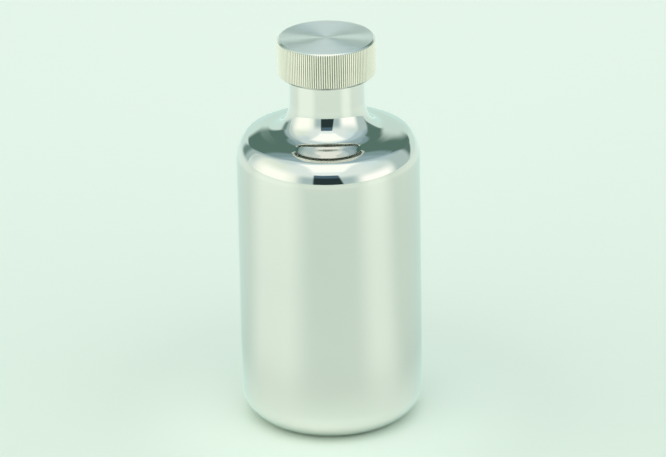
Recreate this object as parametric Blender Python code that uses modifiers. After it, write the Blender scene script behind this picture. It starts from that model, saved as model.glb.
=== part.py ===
"""Polished stainless steel water bottle with a knurled screw cap and a swivelling stopper.

The bottle stands on its base ring at z = 0, and its axis is the world Z axis. All sizes are in
metres. The bottle is a pressed base cup, a body tube and a spun shoulder, welded edge to edge,
with a machined threaded collar in the neck. The cap is a knurled steel shell with a threaded
insert, and it carries a stopper that lifts with it but doesn't turn in the mouth.
"""

from math import asin, ceil, cos, degrees, pi, radians, sin

import bmesh
import bpy

# Bottle body
BODY_RADIUS = 0.045
WALL = 0.0007
HEEL_RADIUS = 0.015
SIDE_TOP = 0.1367
NECK_RADIUS = 0.0184
NECK_LENGTH = 0.01515

# Shoulder from the side inwards: three rounds, a gentle slope and the flare up into the neck
SHOULDER_ROUND = 0.0162
SHOULDER_BEND = 0.0055
SHOULDER_CROWN = 0.028
SHOULDER_SLOPE = radians(8)
FLARE_FOOT = 0.0114
FLARE_NECK = 0.0205

# Angles over level of the outward normal, where one round of the shoulder passes into the next
ROUND_END = radians(40)
BEND_END = radians(68)
CROWN_END = pi / 2 - SHOULDER_SLOPE
FLARE_BREAK = radians(26.5)

# Weld seams of the body tube, above the table and below the shoulder
BASE_CUP_HEIGHT = 0.024
SHOULDER_SKIRT = 0.008

# Pressed base: the ring it stands on and the dish inside that ring
BASE_RING_WIDTH = 0.0025
DISH_DEPTH = 0.0026

# Threaded collar
COLLAR_WALL = 0.0026
COLLAR_RISE = 0.0113
SPIGOT_LENGTH = 0.0095
LIP_ROUND = 0.0005

# Thread of the collar and the insert
THREAD_PITCH = 0.003
THREAD_DEPTH = 0.0011
THREAD_CREST = 0.0008
THREAD_FLANK = radians(20)
THREAD_TURNS = 2.4
THREAD_RUNOUT = 0.25
THREAD_BELOW_LIP = 0.0014

# Cap shell
CAP_HEIGHT = 0.019
CAP_WALL = 0.0026
CAP_TOP = 0.0022
CAP_CHAMFER = 0.0009
CAP_EDGE_CHAMFER = 0.0015
KNURL_DEPTH = 0.0005
KNURL_RIBS = 136

# Threaded insert and the snap ring that holds it
INSERT_WALL = 0.00125
SNAP_RING_WIRE = 0.00045
SNAP_RING_RISE = 0.0036
SNAP_RING_HOLD = 0.0003
SNAP_RING_OPENING = radians(16)

# Stopper
PLUG_CLEARANCE = 0.0008
PLUG_WALL = 0.0024
PLUG_DEPTH = 0.0081
FLANGE_THICKNESS = 0.0013
FLANGE_MARGIN = 0.0002
WEB_THICKNESS = 0.0012
WEB_BELOW_FLANGE = 0.004
GASKET_THICKNESS = 0.001
GASKET_MARGIN = 0.0004
O_RING_WIRE = 0.00065
O_RING_RISE = 0.00195
COVER_THICKNESS = 0.001
COVER_SPIGOT = 0.001

# Swivel of the stopper in the cap
BOSS_RADIUS = 0.004
STUD_RADIUS = 0.002
STUD_THREAD_RADIUS = 0.0017
STUD_THREAD_LENGTH = 0.005
STUD_GROOVE_DEPTH = 0.0007
STUD_TAIL = 0.0007
WASHER_THICKNESS = 0.0008
CLIP_THICKNESS = 0.0008
CLIP_RADIUS = 0.0037
CLIP_OPENING = radians(70)

# Clearance between pieces that touch, slide or turn on each other
FIT = 0.0003

# Facets round the axis and along each quarter round
BODY_SEGMENTS = 60
SMALL_SEGMENTS = 40
STUD_SEGMENTS = 24
ARC_STEPS = 5
THREAD_SEGMENTS = 40

# Colours and surfaces
POLISHED_STEEL = ((0.78, 0.79, 0.77), 0.08, 1.0)
TURNED_STEEL = ((0.72, 0.74, 0.73), 0.25, 1.0)
CAP_STEEL = ((0.80, 0.80, 0.74), 0.3, 1.0)
SPRING_STEEL = ((0.45, 0.46, 0.48), 0.35, 1.0)
INSERT_PLASTIC = ((0.86, 0.86, 0.83), 0.45, 0.0)
SLIDING_PLASTIC = ((0.9, 0.9, 0.9), 0.5, 0.0)
CLEAR_SILICONE = ((0.75, 0.77, 0.76), 0.4, 0.0)

# Rounds of the shoulder as radius, first and last angle, where a hollow round has a radius under nothing.
# They are limited by the room between the side and the neck.
SHOULDER_TURNS = [
    (SHOULDER_ROUND, 0.0, ROUND_END),
    (SHOULDER_BEND, ROUND_END, BEND_END),
    (SHOULDER_CROWN, BEND_END, CROWN_END),
    (-FLARE_FOOT, CROWN_END, FLARE_BREAK),
    (-FLARE_NECK, FLARE_BREAK, 0.0),
]
TURNS_WIDTH = sum(radius * (cos(start) - cos(end)) for radius, start, end in SHOULDER_TURNS)
TURNS_RISE = sum(radius * (sin(end) - sin(start)) for radius, start, end in SHOULDER_TURNS)
ROUND_SHARE = min(1.0, (BODY_RADIUS - NECK_RADIUS) / TURNS_WIDTH)

# Heights along the bottle, from the table up
SLOPE_RUN = BODY_RADIUS - NECK_RADIUS - TURNS_WIDTH * ROUND_SHARE
SLOPE_RISE = SLOPE_RUN * sin(SHOULDER_SLOPE) / cos(SHOULDER_SLOPE)
FLARE_TOP = SIDE_TOP + TURNS_RISE * ROUND_SHARE + SLOPE_RISE
NECK_TOP = FLARE_TOP + NECK_LENGTH
COLLAR_SEAT = NECK_TOP + FIT
LIP = COLLAR_SEAT + COLLAR_RISE
GASKET_BOTTOM = LIP + FIT
FLANGE_BOTTOM = GASKET_BOTTOM + GASKET_THICKNESS + FIT
FLANGE_TOP = FLANGE_BOTTOM + FLANGE_THICKNESS
CEILING = FLANGE_TOP + FIT
CAP_TOP_FACE = CEILING + CAP_TOP
CAP_BOTTOM = CAP_TOP_FACE - CAP_HEIGHT
SHOULDER_WELD = SIDE_TOP - SHOULDER_SKIRT

# Radii of the mouth and the cap, from the neck out
MOUTH_RADIUS = NECK_RADIUS - COLLAR_WALL
THREAD_RADIUS = NECK_RADIUS + THREAD_DEPTH
INSERT_BORE = THREAD_RADIUS + FIT
INSERT_RADIUS = INSERT_BORE + INSERT_WALL
SHELL_BORE = INSERT_RADIUS + FIT
CAP_RADIUS = SHELL_BORE + CAP_WALL
PLUG_RADIUS = MOUTH_RADIUS - PLUG_CLEARANCE
PLUG_BORE = PLUG_RADIUS - PLUG_WALL

# Snap ring in its groove, and the insert on top of it
SNAP_RING_HEIGHT = CAP_BOTTOM + SNAP_RING_RISE
SNAP_RING_RADIUS = INSERT_RADIUS - SNAP_RING_HOLD + SNAP_RING_WIRE
SNAP_GROOVE_RADIUS = SNAP_RING_RADIUS + SNAP_RING_WIRE + FIT
SNAP_GROOVE_HALF = SNAP_RING_WIRE + FIT
INSERT_BOTTOM = SNAP_RING_HEIGHT + SNAP_GROOVE_HALF

# Stopper heights: the web that hangs on the stud, the O-ring and the cover
PLUG_BOTTOM = FLANGE_BOTTOM - PLUG_DEPTH
WEB_TOP = FLANGE_BOTTOM - WEB_BELOW_FLANGE
WEB_BOTTOM = WEB_TOP - WEB_THICKNESS
BOSS_BOTTOM = WEB_TOP + WASHER_THICKNESS + 2 * FIT
CLIP_TOP = WEB_BOTTOM - FIT
CLIP_BOTTOM = CLIP_TOP - CLIP_THICKNESS
STUD_BOTTOM = CLIP_BOTTOM - STUD_TAIL
STUD_TOP = BOSS_BOTTOM + STUD_THREAD_LENGTH
O_RING_HEIGHT = PLUG_BOTTOM + O_RING_RISE
O_RING_RADIUS = MOUTH_RADIUS - FIT - O_RING_WIRE
COVER_TOP = PLUG_BOTTOM - FIT


def clear_scene():
    for old in list(bpy.data.objects):
        bpy.data.objects.remove(old, do_unlink=True)


def new_collection(name):
    made = bpy.data.collections.new(name)
    bpy.context.scene.collection.children.link(made)
    return made


def new_material(name, finish):
    (red, green, blue), roughness, metallic = finish
    made = bpy.data.materials.new(name)
    made.use_nodes = True
    shader = made.node_tree.nodes["Principled BSDF"]
    shader.inputs["Base Color"].default_value = (red, green, blue, 1.0)
    shader.inputs["Roughness"].default_value = roughness
    shader.inputs["Metallic"].default_value = metallic
    made.diffuse_color = (red, green, blue, 1.0)
    return made


def add_object(name, data, collection, finish=None):
    made = bpy.data.objects.new(name, data)
    collection.objects.link(made)
    if finish:
        data.materials.append(new_material(name + "_finish", finish))
    return made


def settle(obj):
    """Replaces the object's mesh with what its modifiers make, and shades it smooth up to 30 degrees."""
    graph = bpy.context.evaluated_depsgraph_get()
    graph.update()
    mesh = bpy.data.meshes.new_from_object(obj.evaluated_get(graph))
    mesh.name = obj.name
    obj.modifiers.clear()
    obj.data = mesh
    mesh.shade_smooth()
    mesh.set_sharp_from_angle(angle=radians(30))
    return obj


def arc(centre, radius, start, end, steps=ARC_STEPS):
    """Points of an arc in the profile plane, from one angle to another in degrees, both ends included."""
    angles = [radians(start + (end - start) * step / steps) for step in range(steps + 1)]
    return [(centre[0] + radius * cos(a), centre[1] + radius * sin(a)) for a in angles]


def turned_mesh(name, profile, ring):
    """A mesh of the profile's edges, as (radius, height) points, closed when it is a ring."""
    mesh = bpy.data.meshes.new(name)
    count = len(profile)
    edges = [(i, (i + 1) % count) for i in range(count if ring else count - 1)]
    mesh.from_pydata([(r, 0.0, z) for r, z in profile], edges, [])
    return mesh


def turn(name, profile, collection, finish=None, segments=BODY_SEGMENTS, ring=True):
    """Turns a profile that runs down its outer side. One that isn't a ring starts and ends on the axis."""
    made = add_object(name, turned_mesh(name, profile, ring), collection, finish)
    screw = made.modifiers.new("Turn", "SCREW")
    screw.axis = "Z"
    screw.steps = segments
    screw.render_steps = segments
    screw.use_merge_vertices = True
    screw.merge_threshold = 0.00001
    return settle(made)


def combine(obj, other, operation):
    """Joins or cuts the object with another one, by an exact Boolean."""
    boolean = obj.modifiers.new(operation.title(), "BOOLEAN")
    boolean.operation = operation
    boolean.solver = "EXACT"
    boolean.object = other
    return settle(obj)


def hide_helper(obj):
    obj.hide_render = True
    obj.display_type = "WIRE"
    return obj


def thread_ridge(name, root, crest, low, high, phase, collection):
    """A helical ridge from its root radius to its crest radius, between two heights.

    It rises one pitch in a turn and passes the +X side at the phase's height, and its two ends
    sink back into the wall that carries it.
    """
    outwards = 1 if crest > root else -1
    buried = root - outwards * FIT
    half_crest = THREAD_CREST / 2
    half_root = half_crest + abs(crest - root) * sin(THREAD_FLANK) / cos(THREAD_FLANK)
    steps = round((high - low) / THREAD_PITCH * THREAD_SEGMENTS)
    runout = THREAD_RUNOUT * THREAD_SEGMENTS
    rings = []
    made = bmesh.new()
    for step in range(steps + 1):
        share = min(1.0, step / runout, (steps - step) / runout)
        height = low + (high - low) * step / steps
        angle = 2 * pi * (height - phase) / THREAD_PITCH
        tip = buried + (crest - buried) * max(share, 0.05)
        section = [(buried, -half_root), (tip, -half_crest), (tip, half_crest), (buried, half_root)]
        rings.append([made.verts.new((r * cos(angle), r * sin(angle), height + z)) for r, z in section])
    for before, after in zip(rings, rings[1:]):
        for i in range(4):
            made.faces.new((before[i], before[i - 1], after[i - 1], after[i]))
    made.faces.new(rings[0])
    made.faces.new(reversed(rings[-1]))
    bmesh.ops.recalc_face_normals(made, faces=made.faces)
    mesh = bpy.data.meshes.new(name)
    made.to_mesh(mesh)
    made.free()
    return hide_helper(add_object(name, mesh, collection))


def shoulder_outline(offset):
    """The shoulder from its weld up to the neck's rim, moved inwards by the offset."""
    points = [(BODY_RADIUS - offset, SHOULDER_WELD + FIT / 2), (BODY_RADIUS - offset, SIDE_TOP)]
    edge, height = BODY_RADIUS, SIDE_TOP
    for full_radius, start, end in SHOULDER_TURNS:
        radius = full_radius * ROUND_SHARE
        centre = (edge - radius * cos(start), height - radius * sin(start))
        steps = max(2, ceil(ARC_STEPS * abs(end - start) / (pi / 2)))
        points += arc(centre, radius - offset, degrees(start), degrees(end), steps)[1:]
        edge, height = centre[0] + radius * cos(end), centre[1] + radius * sin(end)
        if end == CROWN_END:
            edge, height = edge - SLOPE_RUN, height + SLOPE_RISE
            points.append((edge - offset * cos(end), height - offset * sin(end)))
    return [*points, (NECK_RADIUS - offset, NECK_TOP)]


def base_outline(offset):
    """The base cup from its rim down the heel to the ring and into the dish, moved inwards by the offset."""
    ring_radius = BODY_RADIUS - HEEL_RADIUS - BASE_RING_WIDTH
    cove_centre = (ring_radius - DISH_DEPTH, 0.0)
    cove_radius = DISH_DEPTH + offset
    return [
        (BODY_RADIUS - offset, BASE_CUP_HEIGHT - FIT / 2),
        *arc((BODY_RADIUS - HEEL_RADIUS, HEEL_RADIUS), HEEL_RADIUS - offset, 0, -90, ARC_STEPS + 1),
        *arc(cove_centre, cove_radius, degrees(asin(offset / cove_radius)), 90, 3),
        (0.0, DISH_DEPTH + offset),
    ]


def make_base_cup(collection):
    outside, inside = base_outline(0.0), base_outline(WALL)
    return turn("base_cup", inside[::-1] + outside, collection, POLISHED_STEEL, ring=False)


def make_body_tube(collection):
    low, high = BASE_CUP_HEIGHT + FIT / 2, SHOULDER_WELD - FIT / 2
    inner = BODY_RADIUS - WALL
    profile = [(BODY_RADIUS, high), (BODY_RADIUS, low), (inner, low), (inner, high)]
    return turn("body_tube", profile, collection, POLISHED_STEEL)


def make_shoulder(collection):
    outside, inside = shoulder_outline(0.0), shoulder_outline(WALL)
    return turn("shoulder_and_neck", outside[::-1] + inside, collection, POLISHED_STEEL)


def thread_limits():
    """The lowest and highest height of the collar's thread."""
    high = LIP - THREAD_BELOW_LIP
    return high - THREAD_TURNS * THREAD_PITCH, high


def make_neck_collar(collection, cutters):
    spigot = NECK_RADIUS - WALL - FIT
    bottom = COLLAR_SEAT - SPIGOT_LENGTH
    profile = [
        *arc((NECK_RADIUS - LIP_ROUND, LIP - LIP_ROUND), LIP_ROUND, 90, 0, 2),
        (NECK_RADIUS, COLLAR_SEAT),
        (spigot, COLLAR_SEAT),
        (spigot, bottom),
        (MOUTH_RADIUS, bottom),
        *arc((MOUTH_RADIUS + LIP_ROUND, LIP - LIP_ROUND), LIP_ROUND, 180, 90, 2),
    ]
    collar = turn("neck_collar", profile, collection, TURNED_STEEL, SMALL_SEGMENTS)
    low, high = thread_limits()
    ridge = thread_ridge("collar_thread", NECK_RADIUS, THREAD_RADIUS, low, high, low, cutters)
    return combine(collar, ridge, "UNION")


def make_threaded_insert(collection, cutters):
    top = CEILING - FIT
    profile = [
        (INSERT_RADIUS, top),
        (INSERT_RADIUS, INSERT_BOTTOM),
        (INSERT_BORE, INSERT_BOTTOM),
        (INSERT_BORE, top),
    ]
    insert = turn("threaded_insert", profile, collection, INSERT_PLASTIC, SMALL_SEGMENTS)
    low, high = thread_limits()
    crest = NECK_RADIUS + FIT
    ridge_low = INSERT_BOTTOM + THREAD_PITCH / 3
    ridge = thread_ridge("insert_thread", INSERT_BORE, crest, ridge_low, high, low + THREAD_PITCH / 2, cutters)
    return combine(insert, ridge, "UNION")


def knurled_blank(name, collection):
    """The cap's outside: straight ribs between two chamfers, as rings of alternate crests and roots."""
    count = 2 * KNURL_RIBS
    foot, crown = CAP_RADIUS - CAP_EDGE_CHAMFER, CAP_RADIUS - CAP_CHAMFER
    made = bmesh.new()

    def add_ring(radius_of, height_of):
        ring = []
        for i in range(count):
            angle, radius = 2 * pi * i / count, radius_of(i)
            ring.append(made.verts.new((radius * cos(angle), radius * sin(angle), height_of(radius))))
        return ring

    def rib(i):
        return CAP_RADIUS - KNURL_DEPTH * (i % 2)

    rings = [
        add_ring(lambda i: foot, lambda r: CAP_BOTTOM),
        add_ring(rib, lambda r: CAP_BOTTOM + r - foot),
        add_ring(rib, lambda r: CAP_TOP_FACE - r + crown),
        add_ring(lambda i: crown, lambda r: CAP_TOP_FACE),
    ]
    for below, above in zip(rings, rings[1:]):
        for i in range(count):
            made.faces.new((below[i - 1], below[i], above[i], above[i - 1]))
    made.faces.new(rings[0][::-1])
    made.faces.new(rings[-1])
    mesh = bpy.data.meshes.new(name)
    made.to_mesh(mesh)
    made.free()
    return add_object(name, mesh, collection, CAP_STEEL)


def make_cap_shell(collection, cutters):
    shell = knurled_blank("cap_shell", collection)
    stud_hole = STUD_THREAD_RADIUS + FIT
    groove_low = SNAP_RING_HEIGHT - SNAP_GROOVE_HALF
    groove_high = SNAP_RING_HEIGHT + SNAP_GROOVE_HALF
    below = CAP_BOTTOM - CAP_TOP
    cavity = [
        (0.0, STUD_TOP + FIT),
        (stud_hole, STUD_TOP + FIT),
        (stud_hole, BOSS_BOTTOM),
        (BOSS_RADIUS, BOSS_BOTTOM),
        (BOSS_RADIUS, CEILING),
        (SHELL_BORE, CEILING),
        (SHELL_BORE, groove_high),
        (SNAP_GROOVE_RADIUS, groove_high),
        (SNAP_GROOVE_RADIUS, groove_low),
        (SHELL_BORE, groove_low),
        (SHELL_BORE, below),
        (0.0, below),
    ]
    cutter = turn("cap_cavity", cavity, cutters, segments=SMALL_SEGMENTS, ring=False)
    return combine(shell, hide_helper(cutter), "DIFFERENCE")


def wire_ring(name, radius, wire, height, opening, collection, finish):
    """A ring of round wire, left open by an angle about the +Y side, or closed when that is nothing."""
    curve = bpy.data.curves.new(name, "CURVE")
    curve.dimensions = "3D"
    curve.bevel_depth = wire
    curve.bevel_resolution = 1
    curve.use_fill_caps = True
    spline = curve.splines.new("POLY")
    spline.points.add(SMALL_SEGMENTS - 1)
    spline.use_cyclic_u = opening == 0
    gaps = SMALL_SEGMENTS if spline.use_cyclic_u else SMALL_SEGMENTS - 1
    for i, point in enumerate(spline.points):
        angle = pi / 2 + opening / 2 + (2 * pi - opening) * i / gaps
        point.co = (radius * cos(angle), radius * sin(angle), height, 1.0)
    return add_object(name, curve, collection, finish)


def make_snap_ring(collection):
    return wire_ring(
        "snap_ring", SNAP_RING_RADIUS, SNAP_RING_WIRE, SNAP_RING_HEIGHT, SNAP_RING_OPENING, collection, SPRING_STEEL
    )


def make_o_ring(collection):
    return wire_ring("plug_o_ring", O_RING_RADIUS, O_RING_WIRE, O_RING_HEIGHT, 0, collection, CLEAR_SILICONE)


def make_stopper_plug(collection):
    hub_hole = STUD_RADIUS + FIT
    flange_radius = NECK_RADIUS - FLANGE_MARGIN
    groove_floor = O_RING_RADIUS - O_RING_WIRE - FIT
    groove_half = O_RING_WIRE + FIT
    profile = [
        (flange_radius, FLANGE_TOP),
        (flange_radius, FLANGE_BOTTOM),
        (PLUG_RADIUS, FLANGE_BOTTOM),
        (PLUG_RADIUS, O_RING_HEIGHT + groove_half),
        (groove_floor, O_RING_HEIGHT + groove_half),
        (groove_floor, O_RING_HEIGHT - groove_half),
        (PLUG_RADIUS, O_RING_HEIGHT - groove_half),
        (PLUG_RADIUS, PLUG_BOTTOM),
        (PLUG_BORE, PLUG_BOTTOM),
        (PLUG_BORE, WEB_BOTTOM),
        (hub_hole, WEB_BOTTOM),
        (hub_hole, WEB_TOP),
        (PLUG_BORE, WEB_TOP),
        (PLUG_BORE, FLANGE_TOP),
    ]
    return turn("stopper_plug", profile, collection, TURNED_STEEL, SMALL_SEGMENTS)


def make_mouth_gasket(collection):
    inner, outer = PLUG_RADIUS + FIT, NECK_RADIUS - GASKET_MARGIN
    top = GASKET_BOTTOM + GASKET_THICKNESS
    profile = [(outer, top), (outer, GASKET_BOTTOM), (inner, GASKET_BOTTOM), (inner, top)]
    return turn("mouth_gasket", profile, collection, CLEAR_SILICONE, SMALL_SEGMENTS)


def make_plug_cover(collection):
    spigot_radius = PLUG_BORE - FIT
    spigot_top = COVER_TOP + COVER_SPIGOT
    profile = [
        (0.0, spigot_top),
        (spigot_radius, spigot_top),
        (spigot_radius, COVER_TOP),
        (PLUG_RADIUS, COVER_TOP),
        (PLUG_RADIUS, COVER_TOP - COVER_THICKNESS),
        (0.0, COVER_TOP - COVER_THICKNESS),
    ]
    return turn("plug_cover", profile, collection, TURNED_STEEL, SMALL_SEGMENTS, ring=False)


def make_swivel_stud(collection):
    groove_radius = STUD_RADIUS - STUD_GROOVE_DEPTH
    groove_low = CLIP_BOTTOM - FIT
    groove_high = CLIP_TOP + FIT
    shank_top = BOSS_BOTTOM - FIT
    profile = [
        (0.0, STUD_TOP),
        (STUD_THREAD_RADIUS, STUD_TOP),
        (STUD_THREAD_RADIUS, shank_top),
        (STUD_RADIUS, shank_top),
        (STUD_RADIUS, groove_high),
        (groove_radius, groove_high),
        (groove_radius, groove_low),
        (STUD_RADIUS, groove_low),
        (STUD_RADIUS, STUD_BOTTOM),
        (0.0, STUD_BOTTOM),
    ]
    return turn("swivel_stud", profile, collection, TURNED_STEEL, STUD_SEGMENTS, ring=False)


def make_thrust_washer(collection):
    inner = STUD_RADIUS + FIT
    low, high = WEB_TOP + FIT, BOSS_BOTTOM - FIT
    profile = [(BOSS_RADIUS, high), (BOSS_RADIUS, low), (inner, low), (inner, high)]
    return turn("thrust_washer", profile, collection, SLIDING_PLASTIC, STUD_SEGMENTS)


def make_retaining_clip(collection):
    """A flat C-shaped clip that springs into the stud's groove from the side."""
    inner = STUD_RADIUS - STUD_GROOVE_DEPTH + FIT
    start, end = degrees(CLIP_OPENING / 2), 360 - degrees(CLIP_OPENING / 2)
    outline = arc((0.0, 0.0), CLIP_RADIUS, start, end, STUD_SEGMENTS)
    outline += arc((0.0, 0.0), inner, end, start, STUD_SEGMENTS)
    curve = bpy.data.curves.new("retaining_clip", "CURVE")
    curve.dimensions = "2D"
    curve.fill_mode = "BOTH"
    curve.extrude = CLIP_THICKNESS / 2
    spline = curve.splines.new("POLY")
    spline.points.add(len(outline) - 1)
    spline.use_cyclic_u = True
    for point, (x, y) in zip(spline.points, outline):
        point.co = (x, y, 0.0, 1.0)
    clip = add_object("retaining_clip", curve, collection, SPRING_STEEL)
    clip.location.z = (CLIP_TOP + CLIP_BOTTOM) / 2
    return clip


def hang(pieces, name, height, collection, parent=None):
    """An empty on the bottle's axis that carries the pieces, which stay where they are."""
    pivot = add_object(name, None, collection)
    pivot.empty_display_size = NECK_RADIUS
    pivot.parent = parent
    base = parent.location.z if parent else 0.0
    pivot.location = (0.0, 0.0, height - base)
    for piece in pieces:
        piece.parent = pivot
        piece.location.z -= height
    return pivot


def make_bottle():
    clear_scene()
    parts = new_collection("steel_water_bottle")
    cutters = new_collection("cutters")
    bottle = [make_base_cup(parts), make_body_tube(parts), make_shoulder(parts), make_neck_collar(parts, cutters)]
    stopper = [make_stopper_plug(parts), make_mouth_gasket(parts), make_o_ring(parts), make_plug_cover(parts)]
    cap = [
        make_cap_shell(parts, cutters),
        make_threaded_insert(parts, cutters),
        make_snap_ring(parts),
        make_swivel_stud(parts),
        make_thrust_washer(parts),
        make_retaining_clip(parts),
    ]
    foot = hang(bottle, "bottle_foot", 0.0, parts)
    lift = hang(stopper, "stopper_lift", LIP, parts, foot)
    hang(cap, "cap_turn", CAP_BOTTOM, parts, lift)
    turns = (LIP - thread_limits()[0]) / THREAD_PITCH
    print(f"cap clears the thread after {turns:.2f} turns, mouth radius {1000 * MOUTH_RADIUS:.2f} mm")


make_bottle()
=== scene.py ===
"""Looks of the polished steel water bottle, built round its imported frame.

The bottle stands on a pale table in a white photo tent. Each sub-assembly is a class that builds
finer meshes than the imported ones, with the same sizes and places, and dresses them. All sizes are
in metres, and the world Z axis is the bottle's axis.
"""

from __future__ import annotations

import logging
import math
from collections.abc import Callable
from dataclasses import dataclass
from enum import Enum

import bmesh
import bpy
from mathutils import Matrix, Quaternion, Vector


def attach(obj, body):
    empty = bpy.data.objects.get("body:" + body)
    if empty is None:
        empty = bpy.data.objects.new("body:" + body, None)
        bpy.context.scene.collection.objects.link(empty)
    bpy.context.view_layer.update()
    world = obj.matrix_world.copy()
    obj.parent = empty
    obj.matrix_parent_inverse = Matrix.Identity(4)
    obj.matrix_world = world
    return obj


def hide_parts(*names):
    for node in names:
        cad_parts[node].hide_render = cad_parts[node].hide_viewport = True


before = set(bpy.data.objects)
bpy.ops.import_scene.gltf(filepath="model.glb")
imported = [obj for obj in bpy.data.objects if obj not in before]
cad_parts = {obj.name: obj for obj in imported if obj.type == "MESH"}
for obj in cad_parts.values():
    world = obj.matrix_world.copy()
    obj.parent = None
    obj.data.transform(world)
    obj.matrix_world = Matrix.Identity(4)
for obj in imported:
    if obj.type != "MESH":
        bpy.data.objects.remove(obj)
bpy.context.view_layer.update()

LOG = logging.getLogger("bottle")
MM = 0.001
DEGREE = 180.0 / math.pi
NEAR = 0.01 * MM  # radii that differ by less count as the same
BLACK = (0.0, 0.0, 0.0)
Point = tuple[float, float]
Colour = tuple[float, float, float]
Relief = Callable[[float, float, float], float]
Scale = tuple[float, float, float]
Ring = list[bmesh.types.BMVert]
Settings = dict[str, object]
Sockets = dict[str | int, object]


class Body(Enum):
    """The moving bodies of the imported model."""

    BOTTLE = "bottle"
    STOPPER = "stopper"
    CAP = "cap"


class Slot(Enum):
    """The record's material slots."""

    POLISHED = "polished_steel"
    TURNED = "turned_steel"
    KNURLED = "knurled_steel"
    SPRING = "spring_steel"
    INSERT = "insert_plastic"
    WASHER = "washer_plastic"
    SILICONE = "silicone"


class CapFinish(Enum):
    """The finishes of the cap's shell, as places in its list of materials."""

    SIDE = 0
    FACE = 1
    EDGE = 2


class Value:
    """A number inside a material. Python's operators on it add Math nodes."""

    def __init__(self, sheet: Sheet, socket: bpy.types.NodeSocket) -> None:
        """Wraps one output socket of a node on the sheet."""
        self.sheet = sheet
        self.socket = socket

    def math(self, operation: str, *others: Value | float) -> Value:
        """Adds a Math node.

        Args:
            operation: the node's operation.
            others: its operands after this one.

        Returns:
            The node's result.
        """
        operands = dict(enumerate([self, *others]))
        return self.sheet.add("ShaderNodeMath", {"operation": operation}, operands)

    def __add__(self, other: Value | float) -> Value:
        """This plus the other."""
        return self.math("ADD", other)

    def __radd__(self, other: float) -> Value:
        """The other plus this."""
        return self.math("ADD", other)

    def __sub__(self, other: Value | float) -> Value:
        """This minus the other."""
        return self.math("SUBTRACT", other)

    def __rsub__(self, other: float) -> Value:
        """The other minus this."""
        return self.sheet.add("ShaderNodeMath", {"operation": "SUBTRACT"}, {0: other, 1: self})

    def __mul__(self, other: Value | float) -> Value:
        """This times the other."""
        return self.math("MULTIPLY", other)

    def __rmul__(self, other: float) -> Value:
        """The other times this."""
        return self.math("MULTIPLY", other)

    def __truediv__(self, other: Value | float) -> Value:
        """This divided by the other."""
        return self.math("DIVIDE", other)

    def __neg__(self) -> Value:
        """This with its sign turned."""
        return self.math("MULTIPLY", -1.0)

    def step(self, low: float, high: float) -> Value:
        """Rises smoothly from 0 at low to 1 at high.

        Args:
            low: where it starts to rise.
            high: where it is full.

        Returns:
            The smooth step.
        """
        settings = {"interpolation_type": "SMOOTHSTEP"}
        return self.sheet.add("ShaderNodeMapRange", settings, {0: self, 1: low, 2: high, 3: 0.0, 4: 1.0})

    def band(self, low: float, high: float, soft: float) -> Value:
        """One between low and high, and nothing outside, with soft edges.

        Args:
            low: middle of the lower edge.
            high: middle of the upper edge.
            soft: half the width of an edge.

        Returns:
            The band.
        """
        return self.step(low - soft, low + soft) * (1 - self.step(high - soft, high + soft))


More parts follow.
